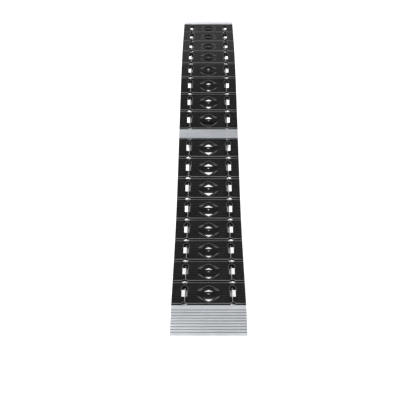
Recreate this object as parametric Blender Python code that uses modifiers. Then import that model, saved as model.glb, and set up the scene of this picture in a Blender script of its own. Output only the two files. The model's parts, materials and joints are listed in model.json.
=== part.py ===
"""Folding loading ramp: a tailgate ramp that folds in half about a hinge under its middle.

It stands as it is used: its ground plate and feet on the floor at -Y, its lip level and raised at +Y.
Seen from the side it is an S, steep in the middle and shallow at both ends, and point-symmetric about
the middle of its tread, so that the folded lower half nests under the upper half.
Lengths along the tread start at the middle. Numbered pieces count outwards from the hinge.
"""

import math

import bmesh
import bpy
from mathutils import Matrix, Vector

# Driving dimensions, in metres
WIDTH = 0.3048
TREAD_PITCH = 0.127
TREADS_PER_HALF = 8
TREAD_LENGTH = 0.1234
TREAD_DEPTH = 0.010
TREAD_SKIN = 0.0035
CENTRE_PLATE_LENGTH = 0.0305
GROUND_PLATE_LENGTH = 0.140
LIP_PLATE_LENGTH = 0.054

# Side profile
MIDDLE_SLOPE = math.radians(26)
END_SLOPE = math.radians(9)
GROUND_PLATE_SLOPE = math.radians(18)
BEND_START = 0.290
BEND_END = 0.800

# Rails, rungs and the clearance between pieces that touch
RAIL_X = 0.0865
RAIL_WIDTH = 0.025
RAIL_DEPTH = 0.033
RAIL_WALL = 0.002
RUNG_SIZE = 0.016
RUNG_Y = -0.0045
HINGE_RUNG_Y = -0.024
RUNG_WALL = 0.0016
CLEARANCE = 0.0003
CUTTER_OVERRUN = 0.004
HALF_GAP = 0.0005

# Tread openings, in a tread's own frame: X across, Y up the ramp, Z out of its top
AXIS_X = 0.0998
HOLE_WIDTH = 0.025
HOLE_NEAR = -0.019
HOLE_FAR = 0.026
RECESS_ARC_Y = 0.028
RECESS_DEPTH = 0.004
SLOT_WIDTH = 0.0032
SLOT_SHIFT = -0.0023
NEAR_SLOT_END = -0.048
FAR_SLOT_END = 0.049
BAR_NEAR = -0.017
BAR_FAR = 0.008
WINDOW_WIDTH = 0.084
FAR_WINDOW_HEIGHT = 0.025
NEAR_WINDOW_HEIGHT = 0.0285
WINDOW_CORNER = 0.004
COLLAR_DEPTH = 0.016
COLLAR_WALL = 0.0025
LIP_HEIGHT = 0.0025
LIP_WIDTH = 0.003
RELIEF_DEPTH = 0.0026
RELIEF_LENGTH = 0.024
OUTER_POCKET_X = (0.1168, 0.1494)
INNER_POCKET_X = (0.0465, 0.071)
POCKET_END = 0.058

# Plates
DECK_THICKNESS = 0.003
HEAVY_DECK = 0.005
LEG_THICKNESS = 0.003
FLANGE_THICKNESS = 0.0023
FLANGE_LENGTH = 0.0235
PLATE_GAP = 0.0015
NOSE_THICKNESS = 0.0022
LIP_CHAMFER = 0.002
LIP_PAD_THICKNESS = 0.0025
LIP_PAD_Y = (0.014, 0.050)
LIP_PAD_WIDTH = 0.260

# Screw bores
SCREW_X = 0.0935
SCREW_BORE_RADIUS = 0.0026
CENTRE_SCREW_Y = -0.0025
BORE_STEPS = 6
PLATE_SCREW_SHIFT = 0.006

# Hinge
HINGE_DROP = 0.010
EAR_THICKNESS = 0.005
EAR_RADIUS = 0.011
BRACKET_REACH = 0.060
BRACKET_FRONT = 0.014
BRACKET_BASE = 0.003
BRACKET_LAP = 0.020
KNUCKLE_RADIUS = 0.008
KNUCKLE_REACH = 0.045
PIN_RADIUS = 0.005
PIN_BORE_RADIUS = 0.0053
PIN_HEAD_RADIUS = 0.008
PIN_HEAD_HEIGHT = 0.005
NUT_ACROSS_FLATS = 0.016
NUT_HEIGHT = 0.008
EAR_SHOULDER = 0.006
KNUCKLE_FRONT = 0.0015
KNUCKLE_LEAF = 0.003
BASE_SETBACK = 0.0005
PIN_TAIL = 0.0025
PIN_CHAMFER = 0.001

# Feet and plugs
FOOT_LENGTH = 0.040
PLUG_FLANGE = 0.002
PLUG_BODY = 0.012
PLUG_CLEARANCE = 0.0004

RAIL_TOP = TREAD_DEPTH + CLEARANCE
RAIL_BOTTOM = RAIL_TOP + RAIL_DEPTH
HINGE_DEPTH = RAIL_BOTTOM + HINGE_DROP
EAR_OUTER_X = RAIL_X + RAIL_WIDTH / 2 + CLEARANCE + EAR_THICKNESS / 2
EAR_INNER_X = RAIL_X - RAIL_WIDTH / 2 - CLEARANCE - EAR_THICKNESS / 2
SIDES = {"left": -1, "right": 1}
HALVES = {"lower": -1, "upper": 1}

# Turns an outline's X and Y into the ramp's Y and Z, so that its thickness runs along X
SIDEWAYS = Matrix(((0, 0, 1, 0), (1, 0, 0, 0), (0, 1, 0, 0), (0, 0, 0, 1)))

MATERIALS = {
    "tread_plastic": ((0.018, 0.018, 0.019), 0.0, 0.55),
    "plate_aluminium": ((0.62, 0.64, 0.67), 1.0, 0.35),
    "rail_zinc": ((0.48, 0.49, 0.50), 1.0, 0.45),
    "rung_black": ((0.02, 0.02, 0.02), 0.2, 0.45),
    "hinge_steel": ((0.45, 0.46, 0.47), 1.0, 0.4),
    "fastener_steel": ((0.58, 0.58, 0.59), 1.0, 0.35),
    "foot_rubber": ((0.012, 0.012, 0.012), 0.0, 0.8),
    "plug_plastic": ((0.02, 0.02, 0.02), 0.0, 0.5),
}


# The side profile


def slope_at(distance):
    """The tread's slope at a distance along it: steep in the middle, shallow at the ends, an arc between."""
    blend = (abs(distance) - BEND_START) / (BEND_END - BEND_START)
    return MIDDLE_SLOPE + min(max(blend, 0), 1) * (END_SLOPE - MIDDLE_SLOPE)


def along(slope, forward, up):
    """A point forward along a slope and up from it, as (y, z)."""
    return Vector(
        (
            forward * math.cos(slope) - up * math.sin(slope),
            forward * math.sin(slope) + up * math.cos(slope),
        )
    )


FACET_LENGTHS = [CENTRE_PLATE_LENGTH] + [TREAD_PITCH] * TREADS_PER_HALF
FACET_SLOPES = [MIDDLE_SLOPE] + [
    slope_at(CENTRE_PLATE_LENGTH + (number + 0.5) * TREAD_PITCH) for number in range(TREADS_PER_HALF)
]
STATIONS = [Vector((0, 0))]
for facet_length, facet_slope in zip(FACET_LENGTHS, FACET_SLOPES):
    STATIONS.append(STATIONS[-1] + along(facet_slope, facet_length, 0))
LAST = len(STATIONS) - 1

NOSE = along(GROUND_PLATE_SLOPE, -GROUND_PLATE_LENGTH, -NOSE_THICKNESS)
FRONT_Y = along(GROUND_PLATE_SLOPE, -GROUND_PLATE_LENGTH, 0).x - STATIONS[LAST].x
BACK_Y = STATIONS[LAST].x + LIP_PLATE_LENGTH
CENTRE = Vector((0, -(FRONT_Y + BACK_Y) / 2, STATIONS[LAST].y - NOSE.y))

PROFILE_FRAME = Matrix.Translation(CENTRE)
MIDDLE_FRAME = PROFILE_FRAME @ Matrix.Rotation(MIDDLE_SLOPE, 4, "X")
HINGE_POINT = MIDDLE_FRAME @ Vector((0, 0, -HINGE_DEPTH))


def slopes_around(index):
    """The slopes of the facets before and after a station."""
    return FACET_SLOPES[max(index - 1, 0)], FACET_SLOPES[min(index, LAST - 1)]


def below_station(half, index, depth):
    """The point at a depth under a station, where the two facets' parallels meet."""
    inner, outer = slopes_around(index)
    return half * STATIONS[index] + along((inner + outer) / 2, 0, -depth / math.cos((inner - outer) / 2))


def facet_frame(half, facet):
    """The frame in the middle of a facet's top: X across, Y up the ramp, Z out of the top."""
    middle = half * (STATIONS[facet] + STATIONS[facet + 1]) / 2
    place = Matrix.Translation((0, middle.x, middle.y))
    return PROFILE_FRAME @ place @ Matrix.Rotation(FACET_SLOPES[facet], 4, "X")


def screw_frames(half):
    """Where a half's tread screws go: at each joint, or just inside the tread where a plate ends."""
    frames = []
    for index in range(1, LAST + 1):
        inner, outer = slopes_around(index)
        shift = {1: half * PLATE_SCREW_SHIFT, LAST: -half * PLATE_SCREW_SHIFT}.get(index, 0)
        slope = {1: outer, LAST: inner}.get(index, (inner + outer) / 2)
        spot = half * STATIONS[index] + along(slope, shift, 0)
        for side in SIDES.values():
            place = Matrix.Translation((side * SCREW_X, spot.x, spot.y))
            frames.append(PROFILE_FRAME @ place @ Matrix.Rotation(slope, 4, "X"))
    return frames


# Modelling helpers


def make_collection(name):
    collection = bpy.data.collections.new(name)
    bpy.context.scene.collection.children.link(collection)
    return collection


def make_material(name):
    colour, metallic, roughness = MATERIALS[name]
    material = bpy.data.materials.new(name)
    material.use_nodes = True
    shader = material.node_tree.nodes["Principled BSDF"]
    shader.inputs["Base Color"].default_value = (*colour, 1)
    shader.inputs["Metallic"].default_value = metallic
    shader.inputs["Roughness"].default_value = roughness
    return material


def finish_mesh(mesh):
    mesh.shade_smooth()
    mesh.set_sharp_from_angle(angle=math.radians(35))
    return mesh


def add_piece(name, mesh, frame, material, parent):
    """A named piece in the ramp's collection, held by its half's empty."""
    piece = bpy.data.objects.new(name, finish_mesh(mesh))
    mesh.materials.clear()
    mesh.materials.append(material)
    parts.objects.link(piece)
    piece.matrix_world = frame
    piece.parent = parent
    piece.matrix_parent_inverse = parent.matrix_world.inverted()
    return piece


def add_helper(name, mesh, frame=None):
    """A hidden solid that cuts others, or that is itself cut before it is copied."""
    helper = bpy.data.objects.new(name, mesh)
    helper.hide_render = True
    helper.display_type = "WIRE"
    cutters.objects.link(helper)
    if frame is not None:
        helper.matrix_world = frame
    return helper


def combine(piece, other, operation="DIFFERENCE"):
    modifier = piece.modifiers.new(other.name, "BOOLEAN")
    modifier.operation = operation
    modifier.object = other


def evaluated_mesh(piece):
    """The mesh that an object's modifiers make, as new data."""
    bpy.context.view_layer.update()
    evaluated = piece.evaluated_get(bpy.context.evaluated_depsgraph_get())
    return bpy.data.meshes.new_from_object(evaluated)


def prism(name, loops, low, high):
    """A flat outline, with any holes in it, thickened along Z from low to high."""
    curve = bpy.data.curves.new(name, "CURVE")
    curve.dimensions = "2D"
    curve.fill_mode = "BOTH"
    curve.extrude = (high - low) / 2
    for loop in loops:
        spline = curve.splines.new("POLY")
        spline.points.add(len(loop) - 1)
        for point, (x, y) in zip(spline.points, loop):
            point.co = (x, y, 0, 1)
        spline.use_cyclic_u = True
    outline = bpy.data.objects.new(name, curve)
    cutters.objects.link(outline)
    mesh = evaluated_mesh(outline)
    bpy.data.objects.remove(outline)
    mesh.transform(Matrix.Translation((0, 0, (low + high) / 2)))
    shape = bmesh.new()
    shape.from_mesh(mesh)
    bmesh.ops.remove_doubles(shape, verts=shape.verts, dist=1e-6)
    bmesh.ops.recalc_face_normals(shape, faces=shape.faces)
    shape.to_mesh(mesh)
    shape.free()
    return mesh


def side_prism(name, loops, x_low, x_high):
    """A prism of a side view, with its thickness along X."""
    mesh = prism(name, loops, x_low, x_high)
    mesh.transform(SIDEWAYS)
    return mesh


def boxes(name, corners):
    """One mesh of boxes that stand apart, each from its low corner to its high corner."""
    shape = bmesh.new()
    for low, high in corners:
        size = [b - a for a, b in zip(low, high)]
        middle = [(a + b) / 2 for a, b in zip(low, high)]
        place = Matrix.Translation(middle) @ Matrix.Diagonal((*size, 1))
        bmesh.ops.create_cube(shape, size=1, matrix=place)
    mesh = bpy.data.meshes.new(name)
    shape.to_mesh(mesh)
    shape.free()
    return mesh


def turned(name, profile, steps):
    """A turned solid from a profile of (radius, height) points that runs from its top to its bottom."""
    line = bpy.data.meshes.new(name)
    edges = [(index, index + 1) for index in range(len(profile) - 1)]
    line.from_pydata([(radius, 0, height) for radius, height in profile], edges, [])
    helper = add_helper(name, line)
    screw = helper.modifiers.new("turn", "SCREW")
    screw.steps = steps
    screw.render_steps = steps
    screw.use_merge_vertices = True
    screw.merge_threshold = 0.00001
    mesh = evaluated_mesh(helper)
    bpy.data.objects.remove(helper)
    return mesh


def copies(name, mesh, frames):
    """One mesh of separate copies of a small piece."""
    shape = bmesh.new()
    for frame in frames:
        copy = mesh.copy()
        copy.transform(frame)
        shape.from_mesh(copy)
        bpy.data.meshes.remove(copy)
    joined = bpy.data.meshes.new(name)
    shape.to_mesh(joined)
    shape.free()
    return joined


def arc(centre, radius, start, end, count):
    """Points of an arc, with its angles in degrees."""
    points = []
    for step in range(count + 1):
        angle = math.radians(start + (end - start) * step / count)
        points.append((centre[0] + radius * math.cos(angle), centre[1] + radius * math.sin(angle)))
    return points


def mirrored(side, points):
    return [(side * x, y) for x, y in points]


# Treads


def window_outline(chord_y, height, direction, grown=0):
    """A low gable with rounded corners, whose base lies along the centre bar, grown outwards by a distance."""
    reach = WINDOW_WIDTH / 2
    pitch = math.degrees(math.atan2(height, reach))
    inset = WINDOW_CORNER / math.tan(math.radians(pitch / 2))
    crown = height - WINDOW_CORNER / math.cos(math.radians(pitch))
    corners = [
        ((reach - inset, WINDOW_CORNER), -90, 90 - pitch),
        ((0, crown), 90 - pitch, 90 + pitch),
        ((inset - reach, WINDOW_CORNER), 90 + pitch, 270),
    ]
    radius = WINDOW_CORNER + grown
    points = [point for centre, start, end in corners for point in arc(centre, radius, start, end, 2)]
    return [(x, chord_y + direction * y) for x, y in points]


def hole_outline():
    """A side hole with the slots that run on from both its ends, over the rail's outer edge."""
    edge = HOLE_WIDTH / 2
    low = SLOT_SHIFT - SLOT_WIDTH / 2
    high = SLOT_SHIFT + SLOT_WIDTH / 2
    points = [
        (high, NEAR_SLOT_END),
        (high, HOLE_NEAR),
        (edge, HOLE_NEAR),
        (edge, HOLE_FAR),
        (high, HOLE_FAR),
        (high, FAR_SLOT_END),
        (low, FAR_SLOT_END),
        (low, HOLE_FAR),
        (-edge, HOLE_FAR),
        (-edge, HOLE_NEAR),
        (low, HOLE_NEAR),
        (low, NEAR_SLOT_END),
    ]
    return [(AXIS_X + x, y) for x, y in points]


def notch_outline(end, first_angle, count):
    """The round opening that two treads share, from an angle to its outer side, run past the tread's end."""
    joint_y = end * TREAD_PITCH / 2
    past = joint_y + end * CUTTER_OVERRUN
    rim = arc((AXIS_X, joint_y), HOLE_WIDTH / 2, -end * first_angle, 0, count)
    return [(rim[0][0], past), *rim, (rim[-1][0], past)]


def recess_outline():
    edge = HOLE_WIDTH / 2
    start = HOLE_FAR - CLEARANCE
    sides = [(AXIS_X - edge, start), (AXIS_X + edge, start)]
    return sides + arc((AXIS_X, RECESS_ARC_Y), edge, 0, 180, 6)


def tread_section(relieved_ends):
    """A tread's side view: raised lips at both ends, and a step under an end that a plate's flange runs into."""
    end = TREAD_LENGTH / 2
    points = []
    for direction in (-1, 1):
        half = [
            (direction * end, -TREAD_DEPTH),
            (direction * end, LIP_HEIGHT),
            (direction * (end - LIP_WIDTH), LIP_HEIGHT),
            (direction * (end - LIP_WIDTH), 0),
        ]
        if direction in relieved_ends:
            step = -TREAD_DEPTH + RELIEF_DEPTH
            inner = direction * (end - RELIEF_LENGTH)
            half[0:1] = [(inner, -TREAD_DEPTH), (inner, step), (direction * end, step)]
        points += half if direction < 0 else reversed(half)
    return points


def tread_mesh(name, relieved_ends):
    """A moulded tread: windows with deep collars, side holes, slots, shared notches and pockets below."""
    below = -COLLAR_DEPTH - CUTTER_OVERRUN
    above = LIP_HEIGHT + CUTTER_OVERRUN
    windows = [(BAR_FAR, FAR_WINDOW_HEIGHT, 1), (BAR_NEAR, NEAR_WINDOW_HEIGHT, -1)]
    through = [window_outline(*window) for window in windows]
    open_windows = windows[:1] if -1 in relieved_ends else windows
    collars = [window_outline(*window, COLLAR_WALL) for window in open_windows]
    sunk = []
    pockets = []
    bores = []
    for side in SIDES.values():
        through.append(mirrored(side, hole_outline()))
        sunk.append(mirrored(side, recess_outline()))
        for end in (-1, 1):
            if end < 0:
                through.append(mirrored(side, notch_outline(end, 120, 4)))
            sunk.append(mirrored(side, notch_outline(end, 180, 6)))
            shift = PLATE_SCREW_SHIFT if end in relieved_ends else 0
            bores.append(Matrix.Translation((side * SCREW_X, end * (TREAD_PITCH / 2 - shift), 0)))
        outer = sorted(side * x for x in OUTER_POCKET_X)
        inner = sorted(side * x for x in INNER_POCKET_X)
        pocket_ends = [(outer, -POCKET_END, POCKET_END)]
        pocket_ends += [(inner, -POCKET_END, BAR_NEAR), (inner, BAR_FAR, POCKET_END)]
        for (x_low, x_high), y_low, y_high in pocket_ends:
            pockets.append(((x_low, y_low, below), (x_high, y_high, -TREAD_SKIN)))
    bores.append(Matrix.Translation((0, CENTRE_SCREW_Y, 0)))
    bore = turned("bore", [(0, above), (SCREW_BORE_RADIUS, above), (SCREW_BORE_RADIUS, below), (0, below)], BORE_STEPS)
    tread = add_helper(name, side_prism(name, [tread_section(relieved_ends)], -WIDTH / 2, WIDTH / 2))
    collar = prism("collars", collars, -COLLAR_DEPTH, -TREAD_SKIN)
    combine(tread, add_helper(f"{name}_collars", collar), "UNION")
    shapes = {
        "through": prism("through", through, below, above),
        "sunk": prism("sunk", sunk, -RECESS_DEPTH, above),
        "pockets": boxes("pockets", pockets),
        "bores": copies("bores", bore, bores),
    }
    for label, shape in shapes.items():
        combine(tread, add_helper(f"{name}_{label}", shape))
    return evaluated_mesh(tread)


def build_treads():
    plain = tread_mesh("tread_plain", ())
    near_plate = tread_mesh("tread_near_plate", (-1,))
    far_plate = tread_mesh("tread_far_plate", (1,))
    for label, half in HALVES.items():
        for number in range(1, TREADS_PER_HALF + 1):
            mesh = plain
            if number == 1:
                mesh = near_plate if half > 0 else far_plate
            if number == TREADS_PER_HALF:
                mesh = far_plate if half > 0 else near_plate
            frame = facet_frame(half, number)
            add_piece(f"{label}_tread_{number}", mesh, frame, materials["tread_plastic"], empties[label])


# Rails and rungs


def rail_outline(half, top, bottom, start, overrun):
    """A rail's side view between two depths, from a distance past the middle to a distance past the last station."""
    uppers = [below_station(half, index, top) for index in range(LAST + 1)]
    lowers = [below_station(half, index, bottom) for index in range(LAST + 1)]
    for line in (uppers, lowers):
        line[0] += along(MIDDLE_SLOPE, half * start, 0)
        line[LAST] += along(FACET_SLOPES[-1], half * overrun, 0)
    return uppers + lowers[::-1]


def build_rails():
    for label, half in HALVES.items():
        outside = rail_outline(half, RAIL_TOP, RAIL_BOTTOM, HALF_GAP, 0)
        inside = rail_outline(half, RAIL_TOP + RAIL_WALL, RAIL_BOTTOM - RAIL_WALL, -CUTTER_OVERRUN, CUTTER_OVERRUN)
        for side_label, side in SIDES.items():
            name = f"{label}_{side_label}_rail"
            middle = side * RAIL_X
            reach = RAIL_WIDTH / 2
            rail_mesh = side_prism(name, [outside], middle - reach, middle + reach)
            hollow_mesh = side_prism(name, [inside], middle - reach + RAIL_WALL, middle + reach - RAIL_WALL)
            rail = add_piece(name, rail_mesh, PROFILE_FRAME, materials["rail_zinc"], empties[label])
            combine(rail, add_helper(f"{name}_hollow", hollow_mesh, PROFILE_FRAME))
            combine(rail, screw_bores[label])


def rung_tube(middle_y):
    """A square tube between the rails. Its place along the tread is in its mesh."""
    length = 2 * (RAIL_X - RAIL_WIDTH / 2 - CLEARANCE)
    outer = RUNG_SIZE / 2
    square = [(-1, -1), (1, -1), (1, 1), (-1, 1)]
    loops = [[(reach * x + middle_y, reach * y) for x, y in square] for reach in (outer, outer - RUNG_WALL)]
    return side_prism("rung", loops, -length / 2, length / 2)


def build_rungs():
    tube = add_helper("rung", rung_tube(RUNG_Y))
    profile = [(0, RUNG_SIZE), (SCREW_BORE_RADIUS, RUNG_SIZE), (SCREW_BORE_RADIUS, 0), (0, 0)]
    bore = turned("rung_bore", profile, BORE_STEPS)
    bore.transform(Matrix.Translation((0, CENTRE_SCREW_Y, 0)))
    combine(tube, add_helper("rung_bore", bore))
    mesh = evaluated_mesh(tube)
    drop = Matrix.Translation((0, 0, -RAIL_TOP - RUNG_SIZE / 2))
    black = materials["rung_black"]
    for label, half in HALVES.items():
        for number in range(1, TREADS_PER_HALF + 1):
            frame = facet_frame(half, number) @ drop
            add_piece(f"{label}_rung_{number}", mesh, frame, black, empties[label])
    hinge_frame = facet_frame(HALVES["upper"], 1) @ drop
    add_piece("upper_hinge_rung", rung_tube(HINGE_RUNG_Y), hinge_frame, black, empties["upper"])


# Plates


def centre_section(half):
    """A hollow bar that butts against the other half's, with a flange that runs under the first tread."""
    end = CENTRE_PLATE_LENGTH - PLATE_GAP
    flange_bottom = -TREAD_DEPTH
    flange_top = flange_bottom + FLANGE_THICKNESS
    outer = [
        (HALF_GAP / 2, 0),
        (end, 0),
        (end, flange_top),
        (end + FLANGE_LENGTH, flange_top),
        (end + FLANGE_LENGTH, flange_bottom),
        (HALF_GAP / 2, flange_bottom),
    ]
    inner = [
        (HALF_GAP / 2 + LEG_THICKNESS, -DECK_THICKNESS),
        (end - LEG_THICKNESS, -DECK_THICKNESS),
        (end - LEG_THICKNESS, flange_top),
        (HALF_GAP / 2 + LEG_THICKNESS, flange_top),
    ]
    return [[(half * u, n) for u, n in loop] for loop in (outer, inner)]


def end_section(half, deck_slope, deck_outline):
    """An end plate: a deck bent from the tread's slope, a leg down to the rails and a flange under the tread."""
    flange_bottom = -TREAD_DEPTH
    flange_top = flange_bottom + FLANGE_THICKNESS
    start = PLATE_GAP
    leg = start + LEG_THICKNESS
    tread_side = [
        (leg, flange_bottom),
        (start - FLANGE_LENGTH, flange_bottom),
        (start - FLANGE_LENGTH, flange_top),
        (start, flange_top),
    ]
    points = [along(deck_slope, half * u, n) for u, n in deck_outline]
    points += [along(END_SLOPE, half * u, n) for u, n in tread_side]
    return [[half * STATIONS[LAST] + point for point in points]]


def build_plates():
    for label, half in HALVES.items():
        name = f"{label}_centre_plate"
        mesh = side_prism(name, centre_section(half), -WIDTH / 2, WIDTH / 2)
        plate = add_piece(name, mesh, MIDDLE_FRAME, materials["plate_aluminium"], empties[label])
        combine(plate, screw_bores[label])
    heel = -(NOSE.y + HEAVY_DECK * math.cos(GROUND_PLATE_SLOPE)) / math.sin(GROUND_PLATE_SLOPE)
    ground_outline = [
        (PLATE_GAP, 0),
        (GROUND_PLATE_LENGTH, 0),
        (GROUND_PLATE_LENGTH, -NOSE_THICKNESS),
        (heel, -HEAVY_DECK),
        (PLATE_GAP + LEG_THICKNESS, -HEAVY_DECK),
    ]
    lip_outline = [
        (PLATE_GAP, 0),
        (LIP_PLATE_LENGTH, 0),
        (LIP_PLATE_LENGTH, -HEAVY_DECK + LIP_CHAMFER),
        (LIP_PLATE_LENGTH - LIP_CHAMFER, -HEAVY_DECK),
        (PLATE_GAP + LEG_THICKNESS, -HEAVY_DECK),
    ]
    sections = {
        "ground_plate": ("lower", end_section(-1, GROUND_PLATE_SLOPE, ground_outline)),
        "lip_plate": ("upper", end_section(1, 0, lip_outline)),
    }
    for name, (label, section) in sections.items():
        mesh = side_prism(name, section, -WIDTH / 2, WIDTH / 2)
        plate = add_piece(name, mesh, PROFILE_FRAME, materials["plate_aluminium"], empties[label])
        combine(plate, screw_bores[label])


def build_rubber():
    pad_top = -HEAVY_DECK - CLEARANCE
    low, high = LIP_PAD_Y
    end = STATIONS[LAST]
    pad = boxes(
        "lip_pad",
        [
            (
                (-LIP_PAD_WIDTH / 2, end.x + low, end.y + pad_top - LIP_PAD_THICKNESS),
                (LIP_PAD_WIDTH / 2, end.x + high, end.y + pad_top),
            )
        ],
    )
    add_piece("lip_pad", pad, PROFILE_FRAME, materials["foot_rubber"], empties["upper"])
    under = -RAIL_BOTTOM - CLEARANCE
    rear = along(END_SLOPE, 0, under)
    front = along(END_SLOPE, FOOT_LENGTH, under)
    wedge = [-end + Vector(point) for point in (rear, front, (front.x, NOSE.y), (rear.x, NOSE.y))]
    for label, side in SIDES.items():
        middle = side * RAIL_X
        mesh = side_prism("foot", [wedge], middle - RAIL_WIDTH / 2, middle + RAIL_WIDTH / 2)
        add_piece(f"{label}_ground_foot", mesh, PROFILE_FRAME, materials["foot_rubber"], empties["lower"])


def build_plugs():
    """Plugs that close the rails' open ends under the lip: a flange on the end and a body inside the tube."""
    top = -RAIL_TOP
    bottom = -RAIL_BOTTOM
    reach = RAIL_WIDTH / 2
    thin = RAIL_WALL + PLUG_CLEARANCE
    flange = boxes("plug", [((-reach, CLEARANCE, bottom), (reach, CLEARANCE + PLUG_FLANGE, top))])
    body_low = (-reach + thin, -PLUG_BODY, bottom + thin)
    body_high = (reach - thin, CLEARANCE + PLUG_FLANGE / 2, top - thin)
    plug = add_helper("plug", flange)
    combine(plug, add_helper("plug_body", boxes("plug_body", [(body_low, body_high)])), "UNION")
    mesh = evaluated_mesh(plug)
    end = STATIONS[LAST]
    for label, side in SIDES.items():
        place = Matrix.Translation((side * RAIL_X, end.x, end.y)) @ Matrix.Rotation(END_SLOPE, 4, "X")
        add_piece(f"{label}_rail_plug", mesh, PROFILE_FRAME @ place, materials["plug_plastic"], empties["upper"])


# Hinge


def ear_outline():
    pivot = (0, -HINGE_DEPTH)
    top = -RAIL_BOTTOM + BRACKET_LAP
    rim = arc(pivot, EAR_RADIUS, 60, -120, 8)
    back = -RAIL_BOTTOM - 2 * CLEARANCE - BRACKET_BASE
    return [(-BRACKET_REACH, top), (-EAR_SHOULDER, top), *rim, (-BRACKET_FRONT, back), (-BRACKET_REACH, back)]


def knuckle_outline():
    seat = -RAIL_BOTTOM - CLEARANCE
    rim = arc((0, -HINGE_DEPTH), KNUCKLE_RADIUS, -60, -280, 11)
    return [(KNUCKLE_FRONT, seat), (KNUCKLE_REACH, seat), (KNUCKLE_REACH, seat - KNUCKLE_LEAF), *rim]


def hinge_bracket(label, side, bore):
    """A channel that wraps the end of a lower rail, with an ear on each side for the pin."""
    reach = EAR_THICKNESS / 2
    solids = []
    for middle in (side * EAR_OUTER_X, side * EAR_INNER_X):
        ear = side_prism("ear", [ear_outline(), bore], middle - reach, middle + reach)
        solids.append(add_helper(f"{label}_ear", ear))
    x_low, x_high = sorted((side * EAR_INNER_X, side * EAR_OUTER_X))
    top = -RAIL_BOTTOM - CLEARANCE
    base_low = (x_low, -BRACKET_REACH + BASE_SETBACK, top - BRACKET_BASE)
    base = add_helper(f"{label}_base", boxes("base", [(base_low, (x_high, -BRACKET_FRONT, top))]))
    for ear in solids:
        combine(base, ear, "UNION")
    return evaluated_mesh(base)


def build_hinge():
    bore = arc((0, -HINGE_DEPTH), PIN_BORE_RADIUS, 0, 337.5, 15)
    nut_radius = NUT_ACROSS_FLATS / math.sqrt(3)
    hexagon = arc((0, 0), nut_radius, 0, 300, 5)
    nut_bore = arc((0, 0), PIN_BORE_RADIUS, 0, 330, 11)
    ear_outside = EAR_OUTER_X + EAR_THICKNESS / 2 + CLEARANCE
    ear_inside = EAR_INNER_X - EAR_THICKNESS / 2 - CLEARANCE
    pin_end = ear_inside - NUT_HEIGHT - PIN_TAIL
    pin_profile = [
        (0, ear_outside + PIN_HEAD_HEIGHT),
        (PIN_HEAD_RADIUS - PIN_CHAMFER, ear_outside + PIN_HEAD_HEIGHT),
        (PIN_HEAD_RADIUS, ear_outside + PIN_HEAD_HEIGHT - PIN_CHAMFER),
        (PIN_HEAD_RADIUS, ear_outside),
        (PIN_RADIUS, ear_outside),
        (PIN_RADIUS, pin_end + PIN_CHAMFER),
        (PIN_RADIUS - PIN_CHAMFER, pin_end),
        (0, pin_end),
    ]
    pivot_frame = MIDDLE_FRAME @ Matrix.Translation((0, 0, -HINGE_DEPTH))
    knuckle_reach = RAIL_WIDTH / 2 - CLEARANCE
    for label, side in SIDES.items():
        bracket = hinge_bracket(label, side, bore)
        middle = side * RAIL_X
        loops = [knuckle_outline(), bore]
        knuckle = side_prism("hinge_knuckle", loops, middle - knuckle_reach, middle + knuckle_reach)
        outward = Matrix.Rotation(side * math.pi / 2, 4, "Y")
        pin = turned("hinge_pin", pin_profile, 14)
        pin.transform(outward)
        nut = prism("hinge_nut", [hexagon, nut_bore], ear_inside - NUT_HEIGHT, ear_inside)
        nut.transform(outward)
        steel = materials["hinge_steel"]
        bright = materials["fastener_steel"]
        add_piece(f"{label}_hinge_bracket", bracket, MIDDLE_FRAME, steel, empties["lower"])
        add_piece(f"{label}_hinge_knuckle", knuckle, MIDDLE_FRAME, steel, empties["upper"])
        add_piece(f"{label}_hinge_pin", pin, pivot_frame, bright, empties["lower"])
        add_piece(f"{label}_hinge_nut", nut, pivot_frame, bright, empties["lower"])


def make_screw_bores():
    """Bores for the tread screws through the rails' tops and the plates' flanges, as one cutter for each half."""
    low = -RAIL_TOP - RAIL_WALL - CUTTER_OVERRUN
    high = -TREAD_DEPTH + CUTTER_OVERRUN
    bore = turned("bore", [(0, high), (SCREW_BORE_RADIUS, high), (SCREW_BORE_RADIUS, low), (0, low)], BORE_STEPS)
    return {
        label: add_helper(f"{label}_screw_bores", copies("screw_bores", bore, screw_frames(half)))
        for label, half in HALVES.items()
    }


def make_empties():
    """An empty on the hinge's axis for each half. Turning the lower one about X folds the ramp."""
    made = {}
    for label in HALVES:
        empty = bpy.data.objects.new(f"{label}_half", None)
        empty.location = HINGE_POINT
        empty.empty_display_size = 0.05
        parts.objects.link(empty)
        made[label] = empty
    bpy.context.view_layer.update()
    return made


for old in list(bpy.data.objects):
    bpy.data.objects.remove(old)
parts = make_collection("folding_loading_ramp")
cutters = make_collection("cutters")
materials = {name: make_material(name) for name in MATERIALS}
empties = make_empties()
screw_bores = make_screw_bores()
build_treads()
build_rails()
build_rungs()
build_plates()
build_rubber()
build_plugs()
build_hinge()
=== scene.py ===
"""Folding loading ramp: the looks.

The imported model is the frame. Each of its solids gets a detailed piece with the same size and place:
moulded treads with ribs, rims and openings, grooved plates, bent tubes, rubber feet, hinges and screws.
Only the rail plugs keep their solids and get a material.
Lengths along the tread start at its middle, and numbered pieces count outwards from the hinge.
"""

import json
import math

import bmesh
import bpy
from mathutils import Matrix, Vector


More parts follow.
